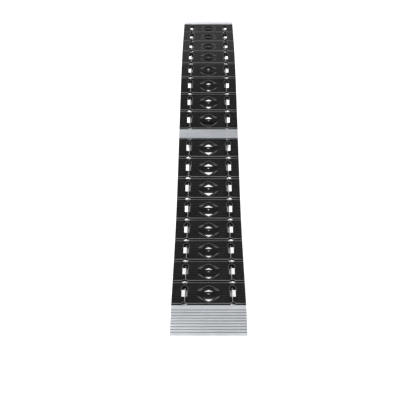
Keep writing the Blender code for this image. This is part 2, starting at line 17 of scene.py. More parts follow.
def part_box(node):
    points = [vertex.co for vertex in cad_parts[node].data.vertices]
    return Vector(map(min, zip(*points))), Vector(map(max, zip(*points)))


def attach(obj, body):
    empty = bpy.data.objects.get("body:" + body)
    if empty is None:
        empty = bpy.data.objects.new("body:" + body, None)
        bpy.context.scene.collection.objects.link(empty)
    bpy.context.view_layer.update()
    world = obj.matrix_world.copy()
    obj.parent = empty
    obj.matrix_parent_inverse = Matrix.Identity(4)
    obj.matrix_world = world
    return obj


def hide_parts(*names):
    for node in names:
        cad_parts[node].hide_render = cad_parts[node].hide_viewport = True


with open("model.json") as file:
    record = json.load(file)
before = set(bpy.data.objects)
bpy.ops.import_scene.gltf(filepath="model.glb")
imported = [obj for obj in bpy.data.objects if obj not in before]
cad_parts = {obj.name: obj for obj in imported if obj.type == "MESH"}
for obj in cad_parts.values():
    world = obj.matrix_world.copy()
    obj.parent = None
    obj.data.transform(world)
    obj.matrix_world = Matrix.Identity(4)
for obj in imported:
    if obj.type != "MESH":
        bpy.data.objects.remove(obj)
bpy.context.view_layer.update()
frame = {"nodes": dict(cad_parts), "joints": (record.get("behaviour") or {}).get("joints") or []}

# Sizes that the CAD model sets, in metres
WIDTH = 0.3048
TREAD_PITCH = 0.127
TREADS_PER_HALF = 8
TREAD_LENGTH = 0.1234
TREAD_DEPTH = 0.010
CENTRE_PLATE_LENGTH = 0.0305
GROUND_PLATE_LENGTH = 0.140
LIP_PLATE_LENGTH = 0.054
MIDDLE_SLOPE = math.radians(26)
END_SLOPE = math.radians(9)
GROUND_PLATE_SLOPE = math.radians(18)
BEND_START = 0.290
BEND_END = 0.800
RAIL_X = 0.0865
RAIL_WIDTH = 0.025
RAIL_DEPTH = 0.033
RAIL_WALL = 0.002
RUNG_SIZE = 0.016
RUNG_Y = -0.0045
HINGE_RUNG_Y = -0.024
RUNG_WALL = 0.0016
CLEARANCE = 0.0003
HALF_GAP = 0.0005
RAIL_TOP = TREAD_DEPTH + CLEARANCE
RAIL_BOTTOM = RAIL_TOP + RAIL_DEPTH
HINGE_DEPTH = RAIL_BOTTOM + 0.010

# Tread details, in a tread's own frame: X across, Y up the ramp, Z out of its top
AXIS_X = 0.0998
HOLE_WIDTH = 0.025
HOLE_NEAR = -0.019
HOLE_FAR = 0.026
RECESS_ARC_Y = 0.028
RECESS_DEPTH = 0.004
SLOT_WIDTH = 0.0032
SLOT_SHIFT = -0.0023
NEAR_SLOT_END = -0.0485
RECESS_SLOT_END = 0.0385
FAR_SLOT = (0.0435, 0.0485)
BAR_NEAR = -0.017
BAR_FAR = 0.008
WINDOW_WIDTH = 0.084
FAR_WINDOW_HEIGHT = 0.025
NEAR_WINDOW_HEIGHT = 0.0285
WINDOW_CORNER = 0.004
COLLAR_DEPTH = 0.016
COLLAR_WALL = 0.0025
CENTRE_SCREW_Y = -0.0025
RECESS_MARGIN = 0.0001
LIP_HEIGHT = 0.0025
LIP_WIDTH = 0.0044
FAR_LIP_HEIGHT = 0.0019
LIP_INSET = 0.0021
LIP_STEP = 0.0007
RELIEF_DEPTH = 0.0026
RELIEF_LENGTH = 0.024
RIB_PITCH = 0.0095
RIB_COUNT = 12
RIB_HEIGHT = 0.0010
RIB_BASE = 0.0034
RIB_TOP = 0.0016
RIM_RADIUS = 0.0016
RIM_START = 0.006
STRIP_REACH = 0.0155
STRIP_END = 0.0548
SKIN = 0.0035

# Ridges round the windows, as the Y of their ends and of their apex, and low pads beside them
FAR_RIDGE = (BAR_FAR + 0.006, 0.041)
NEAR_RIDGE = (BAR_NEAR, -0.0525)
RIDGE_REACH = 0.046
RIDGE_RADIUS = 0.0015
RIDGE_RISE = 0.0004
RIDGE_STEPS = 12
RIDGE_POWER = 1.25
WING_HEIGHT = 0.0014
FAR_WING = [(0.018, 0.0275), (0.034, 0.0215), (0.045, 0.0145), (0.044, 0.0100), (0.033, 0.0105)]
NEAR_WING = [(0.018, -0.0430), (0.034, -0.0330), (0.045, -0.0225), (0.044, -0.0190), (0.034, -0.0225)]

# A boss round the middle screw, and pockets under a tread: a column's X range with its rows' Y ranges
BOSS_RADIUS = 0.0092
BOSS_TOP_RADIUS = 0.0078
BOSS_HEIGHT = 0.0012
BOSS_DEPTH = 0.003
POCKETS = {
    (0.1168, 0.1489): [(-0.058, -0.030), (-0.028, 0.0), (0.002, 0.030), (0.032, 0.058)],
    (0.0475, 0.071): [(-0.058, -0.040), (-0.038, -0.0185), (0.0095, 0.032), (0.034, 0.058)],
    (0.0025, 0.0455): [(0.037, 0.058)],
}

# Plates, screws and hinge
DECK_THICKNESS = 0.003
HEAVY_DECK = 0.005
LEG_THICKNESS = 0.003
FLANGE_THICKNESS = 0.0023
FLANGE_LENGTH = 0.0235
FLANGE_BOTTOM = -TREAD_DEPTH
FLANGE_TOP = FLANGE_BOTTOM + FLANGE_THICKNESS
PLATE_GAP = 0.0015
NOSE_THICKNESS = 0.0022
LIP_CHAMFER = 0.002
SCREW_X = 0.0935
PLATE_SCREW_SHIFT = 0.006
SCREW_HEAD_RADIUS = 0.005
SCREW_HEAD_HEIGHT = 0.0032
SCREW_RADIUS = 0.0022
SCREW_LENGTH = 0.012
COUNTERSINK_RADIUS = 0.0045
BAR_SCREW_SCALE = 0.7
COUNTERSINK_DEPTH = 0.0028
EAR_THICKNESS = 0.005
EAR_RADIUS = 0.011
BRACKET_REACH = 0.060
BRACKET_FRONT = 0.014
BRACKET_BASE = 0.003
BRACKET_LAP = 0.020
KNUCKLE_RADIUS = 0.008
KNUCKLE_REACH = 0.045
PIN_RADIUS = 0.005
PIN_BORE_RADIUS = 0.0053
PIN_HEAD_RADIUS = 0.008
PIN_HEAD_HEIGHT = 0.005
NUT_ACROSS_FLATS = 0.016
NUT_HEIGHT = 0.008
THREAD_PITCH = 0.0015
THREAD_DEPTH = 0.0006
FOOT_LENGTH = 0.040
SOLE_GROOVES = 6
PAD_STRIPS = 9
EAR_OUTER_X = RAIL_X + RAIL_WIDTH / 2 + CLEARANCE + EAR_THICKNESS / 2
EAR_INNER_X = RAIL_X - RAIL_WIDTH / 2 - CLEARANCE - EAR_THICKNESS / 2

# Weld beads
RUNG_BEAD_RADIUS = 0.0014
BRACKET_BEAD_RADIUS = 0.0013
KNUCKLE_BEAD_RADIUS = 0.0011
BEAD_CORNER = 0.0022

# Heights above a tread's or a plate's face where wear with a painted highlight, and painted shade, begin
# and are full
RIB_WEAR_AND_SHEEN = (0.0003, 0.0009)
LIP_DUST_AND_HIGHLIGHT = (0.0010, 0.0022)
GROOVE_SHADE = (-0.0003, -0.0010)
GROOVE_LIMIT = (-0.0030, -0.0026)

# Edges sharper than these stay sharp or are bevelled
SHARP_ANGLE = math.radians(32)
BEVEL_ANGLE = math.radians(35)

# Camera: its distance from the middle of the ramp, and how far it stands below and beside that line
CAMERA_LENS = 51.8
CAMERA_PITCH = math.radians(30.74)
CAMERA_DISTANCE = 3.1114
CAMERA_DROP = 0.3868
CAMERA_SIDE = -0.0026

# Studio: each light's place, its width and length, and its power in watts
LIGHTS = {
    "key": ((-1.2, -2.0, 3.6), (1.4, 1.4), 75),
    "fill": ((1.8, -0.6, 3.4), (1.6, 1.6), 25),
    "back": ((0.2, 3.6, 3.1), (3.0, 1.4), 20),
}
WORLD_LIGHT = 0.42
FLOOR_SIZE = 60
FLOOR_WHITE = 0.85
FLOOR_GLOW = 0.75

SIDES = {"left": -1, "right": 1}
HALVES = {"lower": -1, "upper": 1}
BODIES = {"lower": "lower_half", "upper": "upper_half"}

# Turns an outline's X and Y into the ramp's Y and Z, so that its thickness runs along X
SIDEWAYS = Matrix(((0, 0, 1, 0), (1, 0, 0, 0), (0, 1, 0, 0), (0, 0, 0, 1)))
IDENTITY = Matrix.Identity(4)


# The side profile, as in the CAD model


def slope_at(distance):
    """The slope at a distance from the middle: steep, then easing, then shallow."""
    blend = (abs(distance) - BEND_START) / (BEND_END - BEND_START)
    return MIDDLE_SLOPE + min(max(blend, 0), 1) * (END_SLOPE - MIDDLE_SLOPE)


def along(slope, forward, up):
    """A point forward along a slope and up from it, as (y, z)."""
    cosine = math.cos(slope)
    sine = math.sin(slope)
    return Vector((forward * cosine - up * sine, forward * sine + up * cosine))


FACET_LENGTHS = [CENTRE_PLATE_LENGTH] + [TREAD_PITCH] * TREADS_PER_HALF
FACET_SLOPES = [MIDDLE_SLOPE] + [
    slope_at(CENTRE_PLATE_LENGTH + (number + 0.5) * TREAD_PITCH) for number in range(TREADS_PER_HALF)
]
STATIONS = [Vector((0, 0))]
for facet_length, facet_slope in zip(FACET_LENGTHS, FACET_SLOPES):
    STATIONS.append(STATIONS[-1] + along(facet_slope, facet_length, 0))
LAST = len(STATIONS) - 1
NOSE = along(GROUND_PLATE_SLOPE, -GROUND_PLATE_LENGTH, -NOSE_THICKNESS)

HINGE_POINT = Vector(frame["joints"][0]["pos_m"])
TILT = Matrix.Rotation(MIDDLE_SLOPE, 4, "X")
CENTRE = HINGE_POINT + TILT @ Vector((0, 0, HINGE_DEPTH))
PROFILE_FRAME = Matrix.Translation(CENTRE)
MIDDLE_FRAME = PROFILE_FRAME @ TILT
PIVOT_FRAME = Matrix.Translation(HINGE_POINT) @ TILT


def slopes_around(index):
    """The slopes of the two facets that meet at a station."""
    return FACET_SLOPES[max(index - 1, 0)], FACET_SLOPES[min(index, LAST - 1)]


def below_station(half, index, depth):
    """A station's point at a depth below the tread, on the mitre between its two facets."""
    inner, outer = slopes_around(index)
    return half * STATIONS[index] + along((inner + outer) / 2, 0, -depth / math.cos((inner - outer) / 2))


def facet_frame(half, facet):
    """The frame of one tread: its origin in the middle of its top, with Y up the ramp."""
    middle = half * (STATIONS[facet] + STATIONS[facet + 1]) / 2
    place = Matrix.Translation((0, middle.x, middle.y))
    return PROFILE_FRAME @ place @ Matrix.Rotation(FACET_SLOPES[facet], 4, "X")


def screw_frames(half):
    """The pairs of screws' places: on the joints between treads, and beside the plates."""
    frames = []
    for index in range(1, LAST + 1):
        inner, outer = slopes_around(index)
        shift = {1: half * PLATE_SCREW_SHIFT, LAST: -half * PLATE_SCREW_SHIFT}.get(index, 0)
        slope = {1: outer, LAST: inner}.get(index, (inner + outer) / 2)
        spot = half * STATIONS[index] + along(slope, shift, 0)
        for side in SIDES.values():
            place = Matrix.Translation((side * SCREW_X, spot.x, spot.y))
            frames.append(PROFILE_FRAME @ place @ Matrix.Rotation(slope, 4, "X"))
    return frames


# Camera, floor and light


def make_camera():
    data = bpy.data.cameras.new("camera")
    data.lens = CAMERA_LENS
    camera = bpy.data.objects.new("camera", data)
    forward = Vector((0, math.cos(CAMERA_PITCH), -math.sin(CAMERA_PITCH)))
    up = Vector((0, math.sin(CAMERA_PITCH), math.cos(CAMERA_PITCH)))
    camera.location = CENTRE - forward * CAMERA_DISTANCE - up * CAMERA_DROP + Vector((CAMERA_SIDE, 0, 0))
    camera.rotation_euler = (math.pi / 2 - CAMERA_PITCH, 0, 0)
    bpy.context.scene.collection.objects.link(camera)
    bpy.context.scene.camera = camera


def add_light(name, position, size, power):
    """A soft rectangular light that faces the middle of the ramp."""
    data = bpy.data.lights.new(name, "AREA")
    data.shape = "RECTANGLE"
    data.size, data.size_y = size
    data.energy = power
    light = bpy.data.objects.new(name, data)
    light.location = position
    light.rotation_euler = (CENTRE - light.location).to_track_quat("-Z", "Y").to_euler()
    bpy.context.scene.collection.objects.link(light)


def make_studio():
    world = bpy.data.worlds.new("studio")
    world.use_nodes = True
    background = world.node_tree.nodes["Background"]
    background.inputs["Color"].default_value = (1, 1, 1, 1)
    background.inputs["Strength"].default_value = WORLD_LIGHT
    scene = bpy.context.scene
    scene.world = world
    scene.view_settings.view_transform = "Standard"
    for name, (position, size, power) in LIGHTS.items():
        add_light(name, position, size, power)
    bpy.ops.mesh.primitive_plane_add(size=FLOOR_SIZE)
    floor = bpy.context.object
    floor.name = "floor"
    material = bpy.data.materials.new("floor_white")
    material.use_nodes = True
    shader = material.node_tree.nodes["Principled BSDF"]
    shader.inputs["Base Color"].default_value = (FLOOR_WHITE, FLOOR_WHITE, FLOOR_WHITE, 1)
    shader.inputs["Roughness"].default_value = 0.9
    shader.inputs["Emission Color"].default_value = (1, 1, 1, 1)
    shader.inputs["Emission Strength"].default_value = FLOOR_GLOW
    floor.data.materials.append(material)


# Materials


class Nodes:
    """A short way to write a material's nodes."""

    def __init__(self, name, colour, metallic, roughness):
        self.material = bpy.data.materials.new(name)
        self.material.use_nodes = True
        self.tree = self.material.node_tree
        self.shader = self.tree.nodes["Principled BSDF"]
        self.shader.inputs["Base Color"].default_value = (*colour, 1)
        self.shader.inputs["Metallic"].default_value = metallic
        self.shader.inputs["Roughness"].default_value = roughness
        self.place = self.tree.nodes.new("ShaderNodeTexCoord").outputs["Object"]

    def link(self, source, target):
        self.tree.links.new(source, target)

    def stretched(self, scale):
        mapping = self.tree.nodes.new("ShaderNodeMapping")
        mapping.inputs["Scale"].default_value = scale
        self.link(self.place, mapping.inputs["Vector"])
        return mapping.outputs["Vector"]

    def noise(self, scale, detail, rough, stretch=(1, 1, 1)):
        node = self.tree.nodes.new("ShaderNodeTexNoise")
        node.inputs["Scale"].default_value = scale
        node.inputs["Detail"].default_value = detail
        node.inputs["Roughness"].default_value = rough
        self.link(self.stretched(stretch), node.inputs["Vector"])
        return node.outputs["Fac"]

    def cells(self, scale):
        node = self.tree.nodes.new("ShaderNodeTexVoronoi")
        node.inputs["Scale"].default_value = scale
        self.link(self.place, node.inputs["Vector"])
        return node.outputs["Distance"]

    def spread(self, value, low, high, to_low, to_high):
        """Maps a value's range to another one, clamped."""
        node = self.tree.nodes.new("ShaderNodeMapRange")
        numbers = {"From Min": low, "From Max": high, "To Min": to_low, "To Max": to_high}
        for name, number in numbers.items():
            node.inputs[name].default_value = number
        self.link(value, node.inputs["Value"])
        return node.outputs["Result"]

    def times(self, first, second):
        node = self.tree.nodes.new("ShaderNodeMath")
        node.operation = "MULTIPLY"
        self.link(first, node.inputs[0])
        self.link(second, node.inputs[1])
        return node.outputs["Value"]

    def blend(self, factor, first, second):
        """A colour between two, either of them a colour or another node's output."""
        node = self.tree.nodes.new("ShaderNodeMix")
        node.data_type = "RGBA"
        self.link(factor, node.inputs["Factor"])
        for source, socket in ((first, node.inputs[6]), (second, node.inputs[7])):
            if isinstance(source, tuple):
                socket.default_value = (*source, 1)
            else:
                self.link(source, socket)
        return node.outputs[2]

    def height(self):
        node = self.tree.nodes.new("ShaderNodeSeparateXYZ")
        self.link(self.place, node.inputs["Vector"])
        return node.outputs["Z"]

    def bump(self, value, distance, strength, after=None):
        node = self.tree.nodes.new("ShaderNodeBump")
        node.inputs["Distance"].default_value = distance
        node.inputs["Strength"].default_value = strength
        self.link(value, node.inputs["Height"])
        if after is not None:
            self.link(after, node.inputs["Normal"])
        return node.outputs["Normal"]

    def set(self, **outputs):
        for name, output in outputs.items():
            self.link(output, self.shader.inputs[name.replace("_", " ")])
        return self.material


def tread_plastic():
    """Moulded black plastic: a fine grain, ribs rubbed lighter and lips dustier, both partly a painted
    highlight, and scuffs as tyres roll.
    """
    nodes = Nodes("tread_plastic", (0.012, 0.012, 0.0125), 0, 0.4)
    nodes.shader.inputs["Specular IOR Level"].default_value = 0.13
    height = nodes.height()
    blotches = nodes.noise(22, 4, 0.6)
    streaks = nodes.spread(nodes.noise(60, 5, 0.7, (1, 0.12, 1)), 0.54, 0.72, 0, 1)
    patchy = nodes.spread(blotches, 0.3, 0.7, 0.55, 1)
    mottle = nodes.spread(blotches, 0.3, 0.7, 0, 1)
    base = nodes.blend(mottle, (0.003, 0.003, 0.0033), (0.006, 0.006, 0.0065))
    # Painted highlight: ribs, lips and other raised parts get lighter the higher they stand. This is
    # partly real wear and dust, and partly sheen painted on their tops.
    rib_wear_and_sheen = nodes.times(nodes.spread(height, *RIB_WEAR_AND_SHEEN, 0, 1), patchy)
    rubbed = nodes.blend(rib_wear_and_sheen, base, (0.036, 0.036, 0.037))
    lip_dust_and_highlight = nodes.times(nodes.spread(height, *LIP_DUST_AND_HIGHLIGHT, 0, 1), patchy)
    dusty_and_highlit = nodes.blend(lip_dust_and_highlight, rubbed, (0.23, 0.23, 0.232))
    scuffs = nodes.times(streaks, nodes.spread(height, 0, 0.0008, 0.05, 0.45))
    colour = nodes.blend(scuffs, dusty_and_highlit, (0.075, 0.075, 0.076))
    grain = nodes.noise(1500, 2, 0.6)
    waves = nodes.noise(90, 2, 0.5)
    normal = nodes.bump(waves, 0.0004, 0.3, nodes.bump(grain, 0.00012, 0.5))
    roughness = nodes.spread(blotches, 0.3, 0.7, 0.34, 0.5)
    return nodes.set(Base_Color=colour, Roughness=roughness, Normal=normal)


def plate_aluminium():
    """Extruded aluminium with die lines across the ramp, handling marks and a thin grey bloom."""
    nodes = Nodes("plate_aluminium", (0.72, 0.74, 0.77), 1, 0.36)
    nodes.shader.inputs["Anisotropic"].default_value = 0.35
    lines = nodes.noise(900, 3, 0.6, (0.004, 1, 1))
    cloud = nodes.noise(14, 4, 0.6)
    marks = nodes.spread(nodes.noise(130, 5, 0.75, (0.2, 1, 1)), 0.6, 0.75, 0, 1)
    base = nodes.blend(nodes.spread(cloud, 0.3, 0.7, 0, 1), (0.68, 0.705, 0.74), (0.79, 0.815, 0.85))
    clean = nodes.blend(nodes.spread(marks, 0, 1, 0, 0.5), base, (0.50, 0.51, 0.53))
    height = nodes.height()
    deep = nodes.spread(height, *GROOVE_SHADE, 0, 0.8)
    shallow = nodes.spread(height, *GROOVE_LIMIT, 0, 1)
    colour = nodes.blend(nodes.times(deep, shallow), clean, (0.27, 0.285, 0.30))
    roughness = nodes.spread(lines, 0.3, 0.7, 0.30, 0.46)
    normal = nodes.bump(lines, 0.00008, 0.5)
    return nodes.set(Base_Color=colour, Roughness=roughness, Normal=normal)


def zinc_steel(name, colour, rough_low, rough_high):
    """Zinc-plated steel: a faint spangle, drawn lines along the tube and dull spots."""
    nodes = Nodes(name, colour, 1, (rough_low + rough_high) / 2)
    spangle = nodes.cells(260)
    drawn = nodes.noise(500, 3, 0.6, (1, 0.03, 0.6))
    dull = nodes.noise(35, 5, 0.65)
    darker = tuple(0.72 * part for part in colour)
    lighter = tuple(1.12 * part for part in colour)
    base = nodes.blend(nodes.spread(dull, 0.35, 0.68, 0, 1), colour, darker)
    tinted = nodes.blend(nodes.spread(spangle, 0, 0.6, 0, 0.35), base, lighter)
    roughness = nodes.spread(nodes.times(dull, drawn), 0.12, 0.42, rough_low, rough_high)
    normal = nodes.bump(drawn, 0.0001, 0.35, nodes.bump(spangle, 0.00008, 0.3))
    return nodes.set(Base_Color=tinted, Roughness=roughness, Normal=normal)


def powder_black():
    """Black powder coat with its orange peel, and dust that has settled on it."""
    nodes = Nodes("rung_black", (0.016, 0.016, 0.017), 0, 0.4)
    peel = nodes.noise(420, 2, 0.4)
    dust = nodes.noise(70, 5, 0.7)
    settled = nodes.spread(dust, 0.45, 0.75, 0, 1)
    colour = nodes.blend(settled, (0.014, 0.014, 0.015), (0.045, 0.044, 0.043))
    roughness = nodes.spread(dust, 0.35, 0.7, 0.32, 0.6)
    return nodes.set(Base_Color=colour, Roughness=roughness, Normal=nodes.bump(peel, 0.0003, 0.5))


def foot_rubber():
    """Matt black rubber with a pitted skin and grey scuffs."""
    nodes = Nodes("foot_rubber", (0.013, 0.013, 0.013), 0, 0.8)
    pits = nodes.noise(900, 3, 0.6)
    scuffs = nodes.noise(110, 5, 0.7)
    scuffed = nodes.spread(scuffs, 0.5, 0.75, 0, 1)
    colour = nodes.blend(scuffed, (0.012, 0.012, 0.012), (0.06, 0.058, 0.055))
    roughness = nodes.spread(scuffs, 0.3, 0.7, 0.68, 0.92)
    return nodes.set(Base_Color=colour, Roughness=roughness, Normal=nodes.bump(pits, 0.0002, 0.6))


def plug_plastic():
    """Smooth moulded plastic with a light grain."""
    nodes = Nodes("plug_plastic", (0.015, 0.015, 0.016), 0, 0.45)
    grain = nodes.noise(1200, 2, 0.5)
    worn = nodes.noise(80, 4, 0.65)
    rubbed = nodes.spread(worn, 0.5, 0.75, 0, 1)
    colour = nodes.blend(rubbed, (0.013, 0.013, 0.014), (0.05, 0.05, 0.05))
    roughness = nodes.spread(worn, 0.3, 0.7, 0.38, 0.6)
    return nodes.set(Base_Color=colour, Roughness=roughness, Normal=nodes.bump(grain, 0.0001, 0.4))


def weld_steel():
    """A weld's rippled, heat-tinted surface."""
    nodes = Nodes("weld_steel", (0.22, 0.21, 0.20), 1, 0.5)
    soot = nodes.noise(160, 5, 0.7)
    ripples = nodes.noise(700, 2, 0.5)
    tinted = nodes.spread(soot, 0.35, 0.65, 0, 1)
    colour = nodes.blend(tinted, (0.30, 0.29, 0.27), (0.11, 0.10, 0.10))
    roughness = nodes.spread(soot, 0.3, 0.7, 0.4, 0.7)
    return nodes.set(Base_Color=colour, Roughness=roughness, Normal=nodes.bump(ripples, 0.0003, 0.6))


# Modelling helpers


def evaluated_mesh(piece):
    """A new mesh of what an object's modifiers or curve settings make."""
    bpy.context.view_layer.update()
    evaluated = piece.evaluated_get(bpy.context.evaluated_depsgraph_get())
    return bpy.data.meshes.new_from_object(evaluated)


def temporary(name, data):
    """An object that is removed again once its mesh has been made."""
    helper = bpy.data.objects.new(name, data)
    bpy.context.scene.collection.objects.link(helper)
    return helper


def combine(mesh, steps):
    """Joins meshes to a mesh and cuts others from it, in order."""
    piece = temporary("worked", mesh)
    helpers = []
    for label, other, operation in steps:
        helper = temporary(label, other)
        helpers.append(helper)
        modifier = piece.modifiers.new(label, "BOOLEAN")
        modifier.operation = operation
        modifier.object = helper
    made = evaluated_mesh(piece)
    for helper in [piece, *helpers]:
        bpy.data.objects.remove(helper)
    return made


def prism(loops, low, high):
    """A flat outline, with any holes in it, thickened along Z from low to high."""
    curve = bpy.data.curves.new("outline", "CURVE")
    curve.dimensions = "2D"
    curve.fill_mode = "BOTH"
    curve.extrude = (high - low) / 2
    for loop in loops:
        spline = curve.splines.new("POLY")
        spline.points.add(len(loop) - 1)
        for point, (x, y) in zip(spline.points, loop):
            point.co = (x, y, 0, 1)
        spline.use_cyclic_u = True
    outline = temporary("outline", curve)
    mesh = evaluated_mesh(outline)
    bpy.data.objects.remove(outline)
    mesh.transform(Matrix.Translation((0, 0, (low + high) / 2)))
    return welded(mesh)


def side_prism(loops, x_low, x_high):
    """A side view's outline, with any holes in it, thickened along X."""
    mesh = prism(loops, x_low, x_high)
    mesh.transform(SIDEWAYS)
    return mesh


def welded(mesh):
    """The mesh with its seams closed and its faces pointing out."""
    shape = bmesh.new()
    shape.from_mesh(mesh)
    bmesh.ops.remove_doubles(shape, verts=shape.verts, dist=1e-6)
    bmesh.ops.recalc_face_normals(shape, faces=shape.faces)
    shape.to_mesh(mesh)
    shape.free()
    return mesh


def boxes(corners):
    """Boxes from pairs of lowest and highest corners, in one mesh."""
    shape = bmesh.new()
    for low, high in corners:
        size = [b - a for a, b in zip(low, high)]
        middle = [(a + b) / 2 for a, b in zip(low, high)]
        place = Matrix.Translation(middle) @ Matrix.Diagonal((*size, 1))
        bmesh.ops.create_cube(shape, size=1, matrix=place)
    mesh = bpy.data.meshes.new("boxes")
    shape.to_mesh(mesh)
    shape.free()
    return mesh


def turned(profile, steps):
    """A turned solid from (radius, height) points that run from its top to its bottom."""
    line = bpy.data.meshes.new("profile")
    edges = [(index, index + 1) for index in range(len(profile) - 1)]
    line.from_pydata([(radius, 0, height) for radius, height in profile], edges, [])
    helper = temporary("profile", line)
    screw = helper.modifiers.new("turn", "SCREW")
    screw.steps = steps
    screw.render_steps = steps
    screw.use_merge_vertices = True
    screw.merge_threshold = 0.00001
    mesh = evaluated_mesh(helper)
    bpy.data.objects.remove(helper)
    return mesh


def tube(paths, radius, resolution=3):
    """Round tubes with filled ends along paths of (x, y, z) points."""
    curve = bpy.data.curves.new("tube", "CURVE")
    curve.dimensions = "3D"
    curve.bevel_depth = radius
    curve.bevel_resolution = resolution
    curve.use_fill_caps = True
    for path in paths:
        spline = curve.splines.new("POLY")
        spline.points.add(len(path) - 1)
        for point, place in zip(spline.points, path):
            point.co = (*place, 1)
    helper = temporary("tube", curve)
    mesh = evaluated_mesh(helper)
    bpy.data.objects.remove(helper)
    return welded(mesh)


def copies(mesh, frames):
    """One mesh with a copy of a mesh in each frame."""
    shape = bmesh.new()
    for place in frames:
        copy = mesh.copy()
        copy.transform(place)
        shape.from_mesh(copy)
        bpy.data.meshes.remove(copy)
    made = bpy.data.meshes.new("copies")
    shape.to_mesh(made)
    shape.free()
    return made


def arc(centre, radius, start, end, count):
    """Points along an arc between two angles in degrees."""
    points = []
    for step in range(count + 1):
        angle = math.radians(start + (end - start) * step / count)
        points.append((centre[0] + radius * math.cos(angle), centre[1] + radius * math.sin(angle)))
    return points


def rounded_rectangle(low, high, radius, count=4):
    """Points round a rectangle with rounded corners, between its low and high corners."""
    centres = [
        ((high[0] - radius, high[1] - radius), 0),
        ((low[0] + radius, high[1] - radius), 90),
        ((low[0] + radius, low[1] + radius), 180),
        ((high[0] - radius, low[1] + radius), 270),
    ]
    corners = [arc(centre, radius, start, start + 90, count) for centre, start in centres]
    return [point for corner in corners for point in corner]


def hollow_loft(outer_rings, inner_rings):
    """A tube through matching rings of points, with open ends that show its wall."""
    shape = bmesh.new()
    shells = []
    for rings in (outer_rings, inner_rings):
        shells.append([[shape.verts.new(point) for point in ring] for ring in rings])
    count = len(outer_rings[0])
    for shell in shells:
        for first, second in zip(shell, shell[1:]):
            for index in range(count):
                after = (index + 1) % count
                shape.faces.new((first[index], first[after], second[after], second[index]))
    for end in (0, -1):
        for index in range(count):
            after = (index + 1) % count
            ring, hole = shells[0][end], shells[1][end]
            shape.faces.new((ring[index], ring[after], hole[after], hole[index]))
    bmesh.ops.recalc_face_normals(shape, faces=shape.faces)
    mesh = bpy.data.meshes.new("loft")
    shape.to_mesh(mesh)
    shape.free()
    return mesh


def add_piece(name, mesh, place, slot, half, replaced=(), bevel=0.0, material=None):
    """A finished piece: smooth where it is round, with softened edges, riding on its half."""
    piece = bpy.data.objects.new(name, mesh)
    bpy.context.scene.collection.objects.link(piece)
    piece.matrix_world = place
    mesh.materials.clear()
    mesh.materials.append(material or materials[slot])
    mesh.shade_smooth()
    mesh.set_sharp_from_angle(angle=SHARP_ANGLE)
    if bevel:
        modifier = piece.modifiers.new("soft_edges", "BEVEL")
        modifier.width = bevel
        modifier.segments = 2
        modifier.limit_method = "ANGLE"
        modifier.angle_limit = BEVEL_ANGLE
        modifier.harden_normals = True
    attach(piece, BODIES[half])
    if replaced:
        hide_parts(*replaced)


# Treads


def mirrored(side, points):
    """An outline as it is for the right side, and mirrored for the left."""
    return [(side * x, y) for x, y in points]


def window_outline(chord_y, height, direction, grown=0):
    """A low gable with rounded corners on the centre bar's edge, grown outwards by a distance."""
    reach = WINDOW_WIDTH / 2
    pitch = math.degrees(math.atan2(height, reach))
    inset = WINDOW_CORNER / math.tan(math.radians(pitch / 2))
    crown = height - WINDOW_CORNER / math.cos(math.radians(pitch))
    corners = [
        ((reach - inset, WINDOW_CORNER), -90, 90 - pitch),
        ((0, crown), 90 - pitch, 90 + pitch),
        ((inset - reach, WINDOW_CORNER), 90 + pitch, 270),
    ]
    radius = WINDOW_CORNER + grown
    points = [point for centre, start, end in corners for point in arc(centre, radius, start, end, 6)]
    return [(x, chord_y + direction * y) for x, y in points]


def hole_outline():
    """A side hole with the slots that run on from both its ends, over the rail's outer edge."""
    edge = HOLE_WIDTH / 2
    slot = SLOT_WIDTH / 2
    low = SLOT_SHIFT - slot
    high = SLOT_SHIFT + slot
    points = arc((SLOT_SHIFT, NEAR_SLOT_END + slot), slot, -180, 0, 8)
    points += [(high, HOLE_NEAR), (edge, HOLE_NEAR), (edge, HOLE_FAR), (high, HOLE_FAR)]
    points += arc((SLOT_SHIFT, RECESS_SLOT_END - slot), slot, 0, 180, 8)
    points += [(low, HOLE_FAR), (-edge, HOLE_FAR), (-edge, HOLE_NEAR), (low, HOLE_NEAR)]
    return [(AXIS_X + x, y) for x, y in points]


def far_slot_outline():
    """The short slot between a recess and the tread's far end."""
    slot = SLOT_WIDTH / 2
    middle = AXIS_X + SLOT_SHIFT
    low, high = FAR_SLOT
    return rounded_rectangle((middle - slot, low), (middle + slot, high), slot * 0.9)


def notch_outline(end, first_angle, count, radius):
    """Part of the round opening that two treads share at their joint."""
    joint_y = end * TREAD_PITCH / 2
    past = joint_y + end * 0.002
    rim = arc((AXIS_X, joint_y), radius, -end * first_angle, 0, count)
    return [(rim[0][0], past), *rim, (rim[-1][0], past)]


def recess_outline():
    """The round-ended recess that runs on from a side hole's far end."""
    edge = HOLE_WIDTH / 2 + RECESS_MARGIN
    start = HOLE_FAR - 0.001
    sides = [(AXIS_X - edge, start), (AXIS_X + edge, start)]
    return sides + arc((AXIS_X, RECESS_ARC_Y), edge, 0, 180, 18)


def lip_outline(direction):
    """A raised lip with a low step outside it, from the tread's end inwards."""
    height = LIP_HEIGHT if direction < 0 else FAR_LIP_HEIGHT
    start = TREAD_LENGTH / 2 - LIP_INSET
    points = [(TREAD_LENGTH / 2, -LIP_STEP), (start, -LIP_STEP)]
    for step in range(9):
        angle = math.pi * step / 8
        rise = math.sin(angle) ** 0.6 if 0 < step < 8 else 0
        points.append((start - LIP_WIDTH * (1 - math.cos(angle)) / 2, height * rise))
    return [(direction * y, z) for y, z in points]


